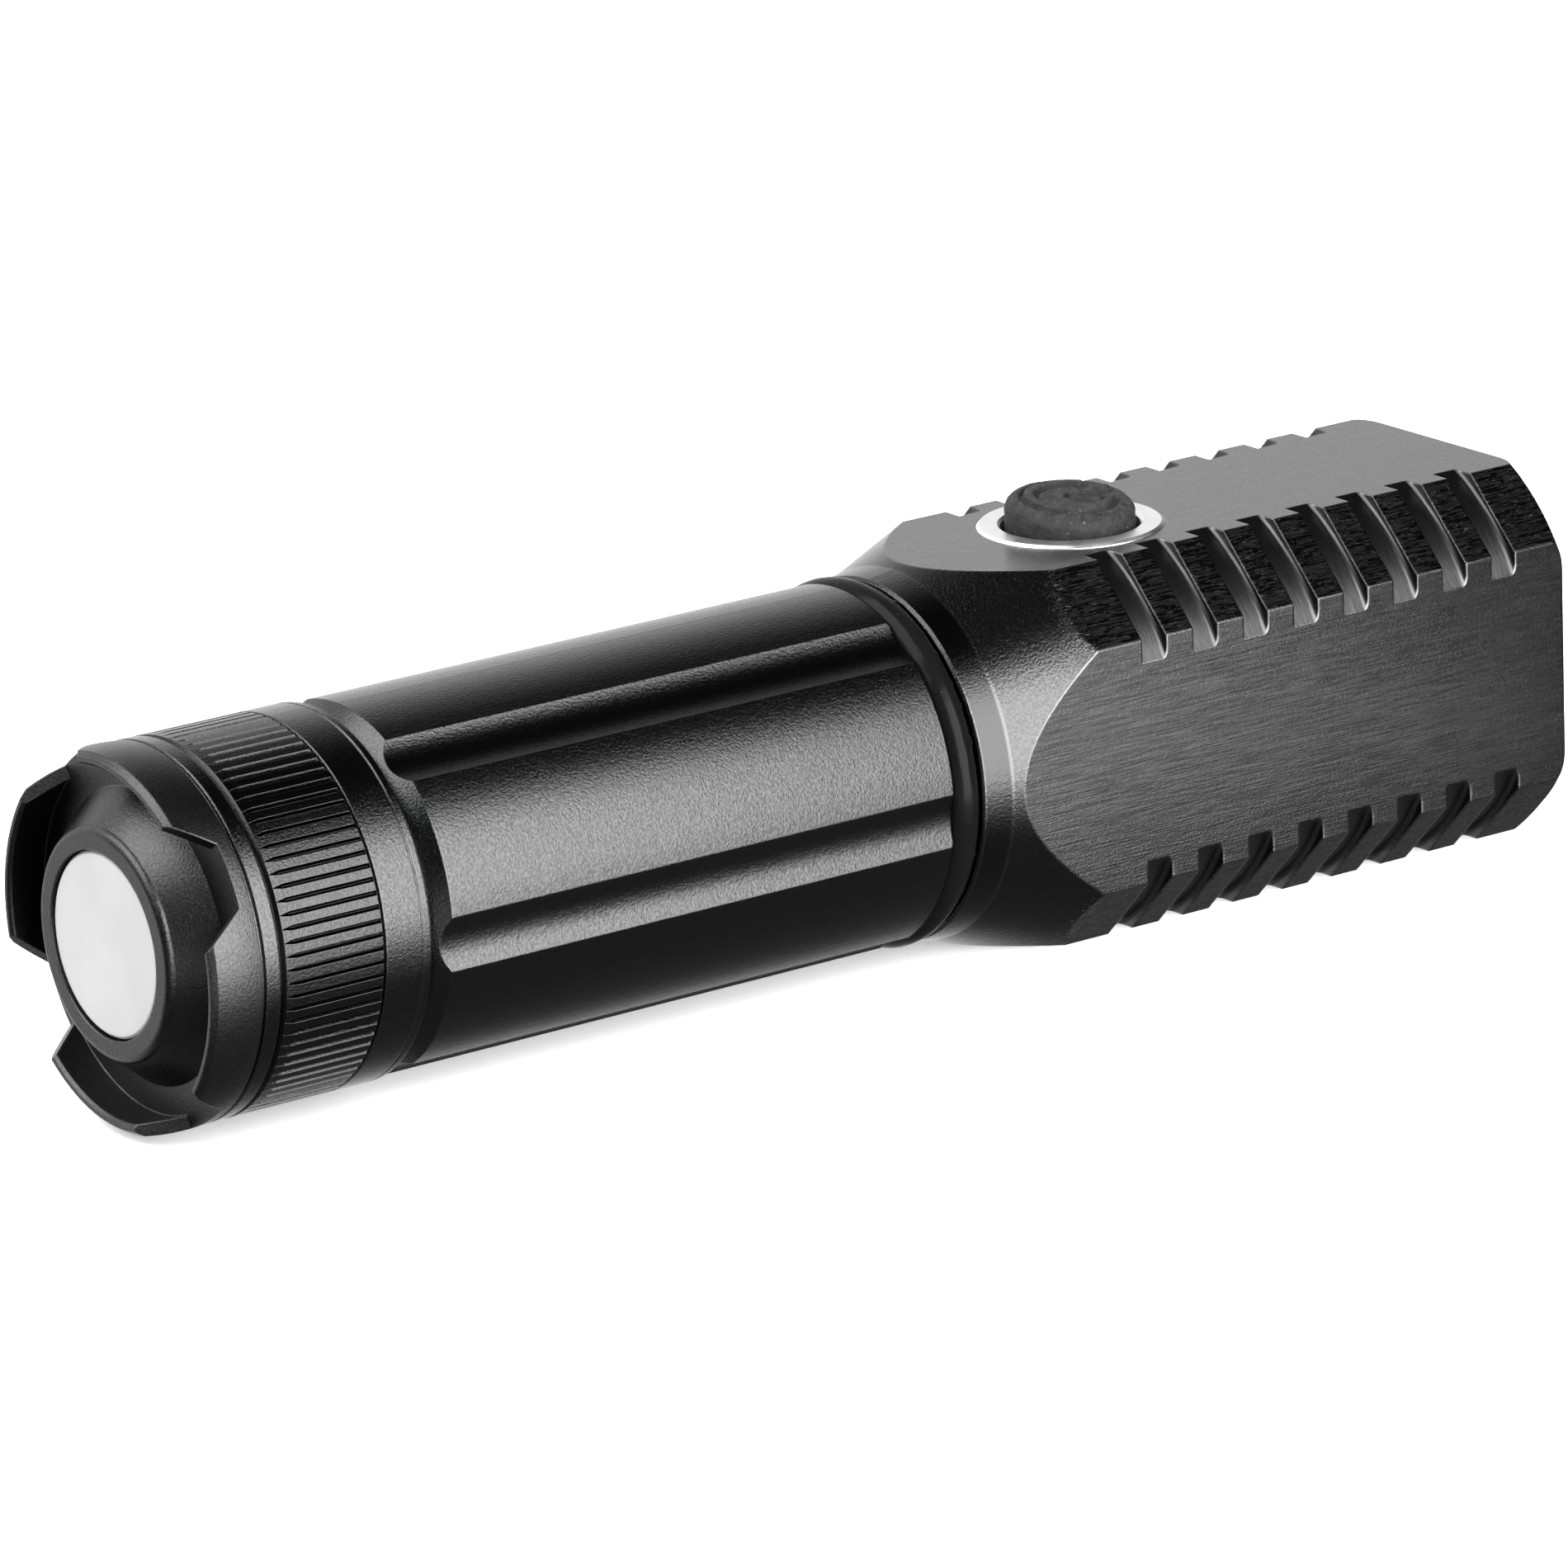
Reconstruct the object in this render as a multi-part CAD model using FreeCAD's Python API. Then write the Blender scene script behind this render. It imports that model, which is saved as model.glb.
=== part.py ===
import FreeCAD, Part
import math
import os

from FreeCAD import Placement, Rotation, Vector

# Tactical flashlight: a square finned head with a side switch, a fluted battery tube and a
# crowned tail cap.  All lengths are millimetres.
#
# Each part is drawn about the light's own axis.  s is the distance along +X from the tail face
# and r the distance from the axis; +Z is the side with the switch.  At the end the parts are set
# down with the head's lower flat on z = 0 and the middle of the light's length at x = 0.

# ---- driving dimensions: outside ----
LENGTH = 133.1
TUBE_R = 15.0
HEAD_HALF = 15.8            # axis to each flat of the head
FLAT_HALF = 10.2            # middle of a flat to the start of its corner chamfer
CAP_R = 15.3
BAND_R = 15.2               # plain bands and knurl crests of the tail cap
CAP_END = 20.4
TUBE_START = 20.8
TUBE_END = 70.7
HEAD_START = 73.45

# ---- driving dimensions: crown and knurl of the tail cap ----
TIP_S = 0.3                 # ends of the four prongs
CROWN_IN_R = 14.2
CAP_EDGE = 0.25             # bevels at both ends of the cap
CROWN_BULGE_S = 2.5         # where the prongs are thickest
BOSS_FACE_R = 8.7           # flat ring round the magnet
BOSS_SHOULDER_S = 0.55      # rounded shoulder between that ring and the boss's flank
BOSS_SHOULDER_R = 9.4
BOSS_FOOT_R = 11.85
RECESS_S = 3.6              # floor round the boss, level with the floors of the notches
NOTCH_TOP_HALF = 5.13
NOTCH_FLOOR_HALF = 2.6
NOTCH_COUNT = 4
NOTCH_ANGLE = 31.0          # first notch, from the -Y side towards +Z
CROWN_END_S = 4.7
BAND_LINES = [              # fine lines turned into the bands: middle, width, depth
    (4.95, 0.4, 0.35),
    (6.65, 0.6, 0.35),
    (15.95, 0.3, 0.25),
    (19.52, 0.17, 0.15),
]
KNURL_START = 6.8
KNURL_END = 15.9
GROOVE_COUNT = 88
GROOVE_DEPTH = 0.34
GROOVE_HALF = 0.2
GROOVE_RUNOUT = 1.1
MAGNET_R = 7.46
MAGNET_S = 0.2
MAGNET_LENGTH = 3.0
MAGNET_EDGE = 0.25
MAGNET_GAP = 0.09

# ---- driving dimensions: battery tube ----
FLUTE_COUNT = 6
FLUTE_ANGLE = -5.0
FLUTE_DEPTH = 0.7
FLUTE_R = 4.9
TUBE_CHAMFER = 1.6
TUBE_CHAMFER_DROP = 1.3
TUBE_EDGE = 0.2
THREAD_CHAMFER = 0.5
TUBE_BORE_R = 11.1
THREAD_R = 13.0             # crest of both male threads
THREAD_ROOT_R = 12.4
THREAD_PITCH = 1.25
THREAD_CREST_GAP = 0.5      # half the groove's width at the crest
THREAD_ROOT_GAP = 0.15      # half its width at the root
THREAD_CLEARANCE = 0.1
THREAD_RUN_IN = 1.3         # the groove starts this far before the thread
TAIL_THREAD_RUN_OUT = 0.5
FRONT_THREAD_RUN_OUT = 0.6
TAIL_THREAD_START = 9.9
TAIL_LAND_START = 16.9
LAND_R = 13.3
MOUTH_R = 13.45
FRONT_NECK_R = 12.8
FRONT_THREAD_START = 73.9
TUBE_TIP = 80.8

# ---- driving dimensions: seals ----
TAIL_SEAL_S = 18.7
TAIL_SEAL_R = 12.7
TAIL_SEAL_WIRE = 0.66
TAIL_SEAL_GROOVE = 1.6
FRONT_SEAL_S = 72.05
FRONT_SEAL_R = 14.1
FRONT_SEAL_WIRE = 1.2
SEAL_PLAY = 0.02

# ---- driving dimensions: tail contact, held loosely so that it does not turn with the cap ----
CONTACT_FLOOR = 6.4
CONTACT_PLAY = 0.2
CONTACT_BOARD_R = 11.2
CONTACT_BOARD = 1.2
RETAINER_R = 12.5
RETAINER_IN_R = 9.5
RETAINER_LENGTH = 1.2
RETAINER_SLOT = 1.6
TAIL_SPRING_R = 5.2
TAIL_SPRING_WIRE = 0.45
TAIL_SPRING_TURNS = 3

# ---- driving dimensions: rechargeable cell, 21 x 70 ----
CELL_START = 11.6
CELL_LENGTH = 70.0
CELL_R = 10.5
SLEEVE_WALL = 0.15
CAN_EDGE = 0.6
CRIMP_START = 3.2           # crimp, measured back from the cell's front end
CRIMP_END = 2.0
CRIMP_DEPTH = 0.7
CELL_CAP_R = 6.2
CELL_CAP_RISE = 0.7
CELL_CAP_EDGE = 0.3
INSULATOR = 0.25
CONTACT_GAP = 0.1

# ---- driving dimensions: head ----
COLLAR_R = 15.1
COLLAR_EDGE = 0.2
COLLAR_LINE_S = 76.1
COLLAR_LINE_R = 15.45
CONE_END_S = 84.8
CONE_END_R = 18.83
END_ROUND = 1.25
FIN_COUNT = 8
FIN_START = 89.15
FIN_PITCH = 5.2
FIN_GAP = 2.5
FIN_FLOOR_R = 17.85
FIN_FILLET = 0.4            # only at the front side of each floor
HEAD_THREAD_END = 82.6
DRIVER_SEAT = 85.2
DRIVER_POCKET_END = 86.3
DRIVER_BORE_R = 11.8
DRIVER_STEP_R = 10.8
COMPONENT_BORE_R = 5.5
COMPONENT_BORE_END = 91.3
OPTIC_START = 104.8
OPTIC_BORE_R = 13.6
BEZEL_START = 129.6
BEZEL_BORE_R = 14.2
MOUTH_BEVEL = 0.4
WIRE_HOLE_R = 1.3
WIRE_Y = 8.0
WIRE_Z = -3.0
SWITCH_WIRE_S = 89.2
SWITCH_WIRE_Y = 0.5
SWITCH_WIRE_Z = 4.0
SWITCH_WIRE_R = 0.3

# ---- driving dimensions: side switch, heights from the light's axis ----
SWITCH_S = 94.2
RING_R = 7.7
RING_IN_R = 5.75
RING_TOP = HEAD_HALF + 0.25
RING_SEAT = 13.9
RING_BEVEL = 0.22
POCKET_R = 7.2
POCKET_FLOOR = 8.0
BOOT_R = 5.35
BOOT_TOP = HEAD_HALF + 2.45 # height of the sloping top at the button's middle
BOOT_SLOPE = 4.9            # degrees, falling towards -Y
BOOT_EDGE = 1.1
BOOT_WALL = 1.0
BOOT_ROOF = 1.5
FLANGE_R = 6.9
FLANGE_BOTTOM = 13.0
FLANGE_TOP = 13.8
SWITCH_BOARD_R = 6.8
SWITCH_BOARD = 1.0
TACT_SIZE = 6.2
TACT_HEIGHT = 2.6
STEM_R = 1.7
STEM_FIT = 0.05
STEM_RISE = 0.8
STEM_DEPTH = 1.6
STEM_TRAVEL_ROOM = 1.1
PLUNGER_FOOT_R = 2.2

# ---- driving dimensions: light engine ----
SPREADER_LENGTH = 3.5
SPREADER_R = 13.55
LED_BOARD_R = 10.0
LED_BOARD = 1.6
LED_SIZE = 5.0
LED_HEIGHT = 0.8
LED_DOME_R = 2.2
LED_ROOM = 0.2
LEAD_R = 0.6
SOLDER_R = 1.6
SOLDER_LENGTH = 0.9
CENTRING_R = 6.0
CENTRING_LENGTH = 1.9
REFLECTOR_R = 13.4
REFLECTOR_MOUTH_R = 12.3
REFLECTOR_NECK_R = 3.7
REFLECTOR_WALL = 0.9
REFLECTOR_FLANGE = 1.2
REFLECTOR_BULGE_S = 0.34    # shares of its depth and of its widening, at the bowl's belly
REFLECTOR_BULGE_R = 0.66
REFLECTOR_END = 127.4
LENS_R = 13.4
LENS_LENGTH = 2.0
LENS_EDGE = 0.2
LENS_SEAL_WIRE = 0.45
LENS_SEAL_R = 12.9
BEZEL_R = 14.15
BEZEL_IN_R = 11.9
BEZEL_BEVEL = 1.3
BEZEL_INSET = 0.3

# ---- driving dimensions: driver ----
DRIVER_BOARD = 1.6
DRIVER_BOARD_PLAY = 0.1
DRIVER_RETAINER_IN_R = 9.6
DRIVER_SPRING_R = 2.6
DRIVER_SPRING_WIRE = 0.3
DRIVER_SPRING_TURNS = 2
# height, width, length, y, z: inductor, controller, two capacitors, power transistor
DRIVER_COMPONENTS = [
    (3.0, 5.0, 5.0, 0.0, 0.0),
    (0.9, 4.0, 5.0, 0.0, -7.5),
    (0.9, 2.0, 1.2, -5.5, 3.5),
    (0.9, 2.0, 1.2, -5.5, 5.5),
    (0.9, 3.2, 3.4, 6.0, 4.5),
]

REACH = 30.0                # beyond the whole light in any direction
OVER = 1.0                  # how far a cutting tool runs past the face it cuts
AXIS = Vector(1, 0, 0)
UP = Vector(0, 0, 1)
CENTRE = Vector(0, 0, 0)
FULL_TURN = 360.0


# ---- shape helpers ----
def outline_face(place, start, steps):
    """Face inside a closed outline.  A step is a corner, or (point on the arc, end of the arc)."""
    edges = []
    here = place(start)
    for step in list(steps) + [start]:
        if isinstance(step[0], tuple):
            there = place(step[1])
            edges.append(Part.Arc(here, place(step[0]), there).toShape())
        else:
            there = place(step)
            edges.append(Part.makeLine(here, there))
        here = there
    return Part.Face(Part.Wire(edges))


def turned(start, *steps):
    """Solid turned about the light's axis from an outline of (s, r) corners."""
    face = outline_face(lambda corner: Vector(corner[0], 0, corner[1]), start, steps)
    return face.revolve(CENTRE, AXIS, FULL_TURN)


def upright(start, *steps):
    """Solid turned about the switch's vertical axis from an outline of (r, z) corners."""
    face = outline_face(lambda corner: Vector(SWITCH_S + corner[0], 0, corner[1]), start, steps)
    return face.revolve(Vector(SWITCH_S, 0, 0), UP, FULL_TURN)


def rod(s_from, s_to, radius, y=0.0, z=0.0):
    return Part.makeCylinder(radius, s_to - s_from, Vector(s_from, y, z), AXIS)


def tube(s_from, s_to, inner, outer):
    return rod(s_from, s_to, outer).cut(rod(s_from, s_to, inner))


def post(z_from, z_to, radius, s=SWITCH_S, y=0.0):
    return Part.makeCylinder(radius, z_to - z_from, Vector(s, y, z_from), UP)


def block(s_from, s_to, width, height, y=0.0, z=0.0):
    """Box centred on (y, z), lying along the axis."""
    corner = Vector(s_from, y - width / 2, z - height / 2)
    return Part.makeBox(s_to - s_from, width, height, corner)


def seal(s, ring_radius, wire_radius):
    return Part.makeTorus(ring_radius, wire_radius, Vector(s, 0, 0), AXIS)


def turned_about_axis(shape, angle):
    """Copy turned about the light's axis, from the -Y side towards +Z."""
    copy = shape.copy()
    copy.rotate(CENTRE, AXIS, -angle)
    return copy


def ring_of(shape, count, first_angle=0.0):
    return [turned_about_axis(shape, first_angle + k * FULL_TURN / count) for k in range(count)]


def swept(path, section):
    """Solid swept by a closed section along a helix."""
    sweep = Part.BRepOffsetAPI.MakePipeShell(path)
    sweep.setFrenetMode(True)
    sweep.add(section)
    sweep.build()
    sweep.makeSolid()
    return sweep.shape()


def coil(s_from, s_to, radius, wire_radius, turns):
    """Helical spring along the axis between two planes, one wire radius clear of each."""
    height = s_to - s_from - 2 * wire_radius
    path = Part.Wire(Part.makeHelix(height / turns, height, radius))
    section = Part.Wire(Part.makeCircle(wire_radius, Vector(radius, 0, 0), Vector(0, 1, 0)))
    spring = swept(path, section)
    spring.Placement = Placement(Vector(s_from + wire_radius, 0, 0), Rotation(UP, AXIS))
    return spring


def thread_groove(length):
    """Right-hand helical groove with sloping sides, to be cut from a cylinder of crest size."""
    above = THREAD_CLEARANCE * 2
    slope = (THREAD_CREST_GAP - THREAD_ROOT_GAP) / (THREAD_R - THREAD_ROOT_R)
    top_gap = THREAD_CREST_GAP + slope * above
    corners = [
        Vector(THREAD_ROOT_R, 0, -THREAD_ROOT_GAP),
        Vector(THREAD_R + above, 0, -top_gap),
        Vector(THREAD_R + above, 0, top_gap),
        Vector(THREAD_ROOT_R, 0, THREAD_ROOT_GAP),
    ]
    path = Part.Wire(Part.makeHelix(THREAD_PITCH, length, THREAD_R))
    groove = swept(path, Part.makePolygon(corners + corners[:1]))
    groove.Placement = Placement(CENTRE, Rotation(UP, AXIS))
    return groove


def lead(points, wire_radius, bend):
    """Round wire through three points, with one bend at the middle point."""
    start, corner, end = [Vector(*point) for point in points]
    back = (start - corner).normalize()
    ahead = (end - corner).normalize()
    entry = corner + back * bend
    leave = corner + ahead * bend
    middle = corner + (back + ahead) * bend * (1 - math.sqrt(0.5))
    path = Part.Wire([
        Part.makeLine(start, entry),
        Part.Arc(entry, middle, leave).toShape(),
        Part.makeLine(leave, end),
    ])
    section = Part.Wire(Part.makeCircle(wire_radius, start, back))
    return path.makePipeShell([section], True, True)


# ---- tail cap ----
def band_outline():
    """Outline of the cap's bands, with the V lines turned into them."""
    corners = []
    for s, width, depth in BAND_LINES:
        corners += [(s - width / 2, BAND_R), (s, BAND_R - depth), (s + width / 2, BAND_R)]
    return corners


def boss_outline():
    """Outline of the boss from the magnet's pocket to the foot of the crown."""
    pocket_r = MAGNET_R + MAGNET_GAP
    middle_s = BOSS_SHOULDER_S * (1 - math.sqrt(0.5))
    middle_r = BOSS_FACE_R + (BOSS_SHOULDER_R - BOSS_FACE_R) * math.sqrt(0.5)
    return [
        (MAGNET_S + MAGNET_LENGTH, pocket_r),
        (0, pocket_r),
        (0, BOSS_FACE_R),
        ((middle_s, middle_r), (BOSS_SHOULDER_S, BOSS_SHOULDER_R)),
        (RECESS_S, BOSS_FOOT_R),
        (RECESS_S, CROWN_IN_R),
    ]


def tail_cap():
    """Crowned, knurled cap with a central boss for the magnet."""
    retainer_end = CONTACT_FLOOR + 2 * CONTACT_PLAY + CONTACT_BOARD + RETAINER_LENGTH
    thread_bore = THREAD_R + THREAD_CLEARANCE
    cap = turned(
        (MAGNET_S + MAGNET_LENGTH, 0),
        *boss_outline(),
        (TIP_S + CAP_EDGE, CROWN_IN_R),
        (TIP_S, CROWN_IN_R + CAP_EDGE),
        (TIP_S, CAP_R - 2 * CAP_EDGE),
        (TIP_S + 2 * CAP_EDGE, CAP_R - CAP_EDGE / 2),
        ((CROWN_BULGE_S, CAP_R), (CROWN_END_S, BAND_R)),
        *band_outline(),
        (CAP_END - CAP_EDGE, BAND_R),
        (CAP_END, BAND_R - CAP_EDGE),
        (CAP_END, MOUTH_R + CAP_EDGE),
        (CAP_END - CAP_EDGE, MOUTH_R),
        (TAIL_LAND_START, MOUTH_R),
        (TAIL_LAND_START - (MOUTH_R - thread_bore), thread_bore),
        (retainer_end, thread_bore),
        (retainer_end, RETAINER_R),
        (retainer_end - RETAINER_LENGTH, RETAINER_R),
        (retainer_end - RETAINER_LENGTH, CONTACT_BOARD_R + CONTACT_PLAY),
        (CONTACT_FLOOR, CONTACT_BOARD_R + CONTACT_PLAY),
        (CONTACT_FLOOR, 0),
    )
    notches = ring_of(crown_notch(), NOTCH_COUNT, NOTCH_ANGLE)
    grooves = ring_of(knurl_groove(), GROOVE_COUNT)
    return cap.cut(notches).cut(grooves)


def crown_notch():
    """Trapezoid block that cuts one gap between two prongs, on the -Y side."""
    slope = (NOTCH_TOP_HALF - NOTCH_FLOOR_HALF) / (RECESS_S - TIP_S)
    outside = NOTCH_TOP_HALF + slope * (TIP_S + OVER)
    inner_y = -(BOSS_FOOT_R + CROWN_IN_R) / 2
    corners = [
        Vector(-OVER, inner_y, -outside),
        Vector(-OVER, inner_y, outside),
        Vector(RECESS_S, inner_y, NOTCH_FLOOR_HALF),
        Vector(RECESS_S, inner_y, -NOTCH_FLOOR_HALF),
    ]
    face = Part.Face(Part.makePolygon(corners + corners[:1]))
    return face.extrude(Vector(0, -REACH, 0))


def knurl_groove():
    """V groove along the axis on the -Y side, that runs out to nothing at its tail end."""
    half = GROOVE_HALF * (GROOVE_DEPTH + OVER) / GROOVE_DEPTH

    def section(s, floor):
        top = floor + GROOVE_DEPTH + OVER
        corners = [Vector(s, -floor, 0), Vector(s, -top, half), Vector(s, -top, -half)]
        return Part.makePolygon(corners + corners[:1])

    sections = [
        section(KNURL_START, BAND_R),
        section(KNURL_START + GROOVE_RUNOUT, BAND_R - GROOVE_DEPTH),
        section(KNURL_END, BAND_R - GROOVE_DEPTH),
    ]
    return Part.makeLoft(sections, True, True)


def tail_magnet():
    return turned(
        (MAGNET_S, 0),
        (MAGNET_S, MAGNET_R - MAGNET_EDGE),
        (MAGNET_S + MAGNET_EDGE, MAGNET_R),
        (MAGNET_S + MAGNET_LENGTH, MAGNET_R),
        (MAGNET_S + MAGNET_LENGTH, 0),
    )


def contact_retainer():
    """Ring that keeps the tail contact board in the cap, with two spanner notches."""
    start = CONTACT_FLOOR + 2 * CONTACT_PLAY + CONTACT_BOARD
    ring = tube(start, start + RETAINER_LENGTH, RETAINER_IN_R, RETAINER_R)
    slot_depth = RETAINER_LENGTH / 2
    slot = block(start + slot_depth, start + REACH, RETAINER_SLOT, 2 * RETAINER_R)
    return ring.cut(slot.common(rod(start, start + REACH, RETAINER_R - 2 * slot_depth)))


# ---- tail contact ----
def tail_contact_board():
    start = CONTACT_FLOOR + CONTACT_PLAY
    return rod(start, start + CONTACT_BOARD, CONTACT_BOARD_R)


def tail_spring():
    start = CONTACT_FLOOR + CONTACT_PLAY + CONTACT_BOARD
    end = CELL_START - CONTACT_GAP
    return coil(start, end, TAIL_SPRING_R, TAIL_SPRING_WIRE, TAIL_SPRING_TURNS)


# ---- battery tube ----
def battery_tube():
    """Fluted tube with a male thread at each end."""
    seal_start = TAIL_SEAL_S - TAIL_SEAL_GROOVE / 2
    seal_floor = TAIL_SEAL_R - TAIL_SEAL_WIRE - SEAL_PLAY
    land_start = TAIL_LAND_START + TUBE_EDGE
    body = turned(
        (TAIL_THREAD_START, TUBE_BORE_R),
        (TAIL_THREAD_START, THREAD_R - THREAD_CHAMFER),
        (TAIL_THREAD_START + THREAD_CHAMFER, THREAD_R),
        (land_start, THREAD_R),
        (land_start + LAND_R - THREAD_R, LAND_R),
        (seal_start, LAND_R),
        (seal_start, seal_floor),
        (seal_start + TAIL_SEAL_GROOVE, seal_floor),
        (seal_start + TAIL_SEAL_GROOVE, LAND_R),
        (TUBE_START, LAND_R),
        (TUBE_START, TUBE_R - TUBE_CHAMFER_DROP),
        (TUBE_START + TUBE_CHAMFER, TUBE_R),
        (TUBE_END - TUBE_EDGE, TUBE_R),
        (TUBE_END, TUBE_R - TUBE_EDGE),
        (TUBE_END, FRONT_NECK_R),
        (FRONT_THREAD_START, FRONT_NECK_R),
        (FRONT_THREAD_START, THREAD_R),
        (TUBE_TIP - THREAD_CHAMFER, THREAD_R),
        (TUBE_TIP, THREAD_R - THREAD_CHAMFER),
        (TUBE_TIP, TUBE_BORE_R),
    )
    flute_y = -(TUBE_R - FLUTE_DEPTH + FLUTE_R)
    flute = rod(TUBE_START - OVER, TUBE_END + OVER / 2, FLUTE_R, y=flute_y)
    body = body.cut(ring_of(flute, FLUTE_COUNT, FLUTE_ANGLE))
    tail_length = TAIL_LAND_START - TAIL_THREAD_START - TAIL_THREAD_RUN_OUT
    tail_groove = thread_groove(THREAD_RUN_IN + tail_length)
    tail_groove.translate(Vector(TAIL_THREAD_START - THREAD_RUN_IN, 0, 0))
    front_length = TUBE_TIP - FRONT_THREAD_START - FRONT_THREAD_RUN_OUT
    front_groove = thread_groove(THREAD_RUN_IN + front_length)
    front_groove.rotate(CENTRE, UP, FULL_TURN / 2)
    front_groove.translate(Vector(TUBE_TIP + THREAD_RUN_IN, 0, 0))
    return body.cut(tail_groove).cut(front_groove)


def tail_oring():
    return seal(TAIL_SEAL_S, TAIL_SEAL_R, TAIL_SEAL_WIRE)


def front_oring():
    return seal(FRONT_SEAL_S, FRONT_SEAL_R, FRONT_SEAL_WIRE)


# ---- rechargeable cell ----
def battery_can():
    """Steel can with a rounded rear edge and a crimp near its front."""
    end = CELL_START + CELL_LENGTH
    return turned(
        (CELL_START, 0),
        (CELL_START, CELL_R - CAN_EDGE),
        (CELL_START + CAN_EDGE, CELL_R),
        (end - CRIMP_START, CELL_R),
        (end - (CRIMP_START + CRIMP_END) / 2, CELL_R - CRIMP_DEPTH),
        (end - CRIMP_END, CELL_R),
        (end - CELL_CAP_RISE, CELL_R),
        (end - CELL_CAP_RISE, 0),
    )


def battery_sleeve():
    start = CELL_START + CAN_EDGE
    end = CELL_START + CELL_LENGTH - CRIMP_START
    return tube(start + CONTACT_GAP, end - CONTACT_GAP, CELL_R, CELL_R + SLEEVE_WALL)


def battery_insulator():
    start = CELL_START + CELL_LENGTH - CELL_CAP_RISE
    inner = CELL_CAP_R + 3 * CONTACT_GAP
    return tube(start, start + INSULATOR, inner, CELL_R - 2 * CONTACT_GAP)


def battery_positive_cap():
    end = CELL_START + CELL_LENGTH
    return turned(
        (end - CELL_CAP_RISE, 0),
        (end - CELL_CAP_RISE, CELL_CAP_R),
        (end - CELL_CAP_EDGE, CELL_CAP_R),
        (end, CELL_CAP_R - CELL_CAP_EDGE),
        (end, 0),
    )


# ---- head ----
def head_shell():
    """Square head: turned collar and cone, chamfered corners cut by annular fin grooves."""
    middle = END_ROUND * math.sqrt(0.5)
    envelope = turned(
        (HEAD_START, 0),
        (HEAD_START, COLLAR_R - COLLAR_EDGE),
        (HEAD_START + COLLAR_EDGE, COLLAR_R),
        (COLLAR_LINE_S, COLLAR_LINE_R),
        (CONE_END_S, CONE_END_R),
        (LENGTH - END_ROUND, CONE_END_R),
        ((LENGTH - END_ROUND + middle, CONE_END_R - END_ROUND + middle),
         (LENGTH, CONE_END_R - END_ROUND)),
        (LENGTH, 0),
    )
    shell = envelope.common(corner_cut_bar())
    shell = shell.cut([fin_groove(k) for k in range(FIN_COUNT)])
    shell = shell.cut(head_bore())
    shell = shell.cut(switch_pocket())
    return shell.cut(wire_holes())


def corner_cut_bar():
    """Square bar with chamfered corners, longer than the head."""
    quarter = [(HEAD_HALF, -FLAT_HALF), (HEAD_HALF, FLAT_HALF)]
    corners = []
    for k in range(4):
        turn = math.radians(90 * k)
        for y, z in quarter:
            corners.append(Vector(
                HEAD_START - OVER,
                y * math.cos(turn) - z * math.sin(turn),
                y * math.sin(turn) + z * math.cos(turn),
            ))
    face = Part.Face(Part.makePolygon(corners + corners[:1]))
    return face.extrude(Vector(LENGTH, 0, 0))


def fin_groove(index):
    """Ring that cuts one groove into the four corners."""
    near = FIN_START + index * FIN_PITCH
    far = near + FIN_GAP
    middle = FIN_FILLET * (1 - math.sqrt(0.5))
    return turned(
        (near, FIN_FLOOR_R),
        (far - FIN_FILLET, FIN_FLOOR_R),
        ((far - middle, FIN_FLOOR_R + middle), (far, FIN_FLOOR_R + FIN_FILLET)),
        (far, REACH),
        (near, REACH),
    )


def head_bore():
    """Rear thread and driver pocket, then a web, then the front optic bore."""
    thread_bore = THREAD_R + THREAD_CLEARANCE
    rear = turned(
        (HEAD_START - OVER, 0),
        (HEAD_START - OVER, thread_bore + MOUTH_BEVEL),
        (HEAD_START, thread_bore + MOUTH_BEVEL),
        (HEAD_START + MOUTH_BEVEL, thread_bore),
        (HEAD_THREAD_END, thread_bore),
        (HEAD_THREAD_END, DRIVER_BORE_R),
        (DRIVER_SEAT, DRIVER_BORE_R),
        (DRIVER_SEAT, DRIVER_STEP_R),
        (DRIVER_POCKET_END, DRIVER_STEP_R),
        (DRIVER_POCKET_END, COMPONENT_BORE_R),
        (COMPONENT_BORE_END, COMPONENT_BORE_R),
        (COMPONENT_BORE_END, 0),
    )
    front = turned(
        (OPTIC_START, 0),
        (OPTIC_START, OPTIC_BORE_R),
        (BEZEL_START, OPTIC_BORE_R),
        (BEZEL_START, BEZEL_BORE_R),
        (LENGTH - MOUTH_BEVEL, BEZEL_BORE_R),
        (LENGTH, BEZEL_BORE_R + MOUTH_BEVEL),
        (LENGTH + OVER, BEZEL_BORE_R + MOUTH_BEVEL),
        (LENGTH + OVER, 0),
    )
    return rear.fuse(front)


def switch_pocket():
    """Stepped round pocket in the upper flat."""
    return upright(
        (0, POCKET_FLOOR),
        (POCKET_R, POCKET_FLOOR),
        (POCKET_R, RING_SEAT),
        (RING_R, RING_SEAT),
        (RING_R, REACH),
        (0, REACH),
    )


def lead_holes(s_from, s_to):
    """Two rods along the axis, where the LED's leads pass."""
    return [rod(s_from, s_to, WIRE_HOLE_R, side * WIRE_Y, WIRE_Z) for side in (-1, 1)]


def wire_holes():
    """Two holes through the web for the LED leads and one up to the switch pocket."""
    along = lead_holes(DRIVER_POCKET_END - OVER / 2, OPTIC_START + OVER / 2)
    riser = post(SWITCH_WIRE_Z, POCKET_FLOOR + OVER / 2, WIRE_HOLE_R, s=SWITCH_WIRE_S)
    return along + [riser]


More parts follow.
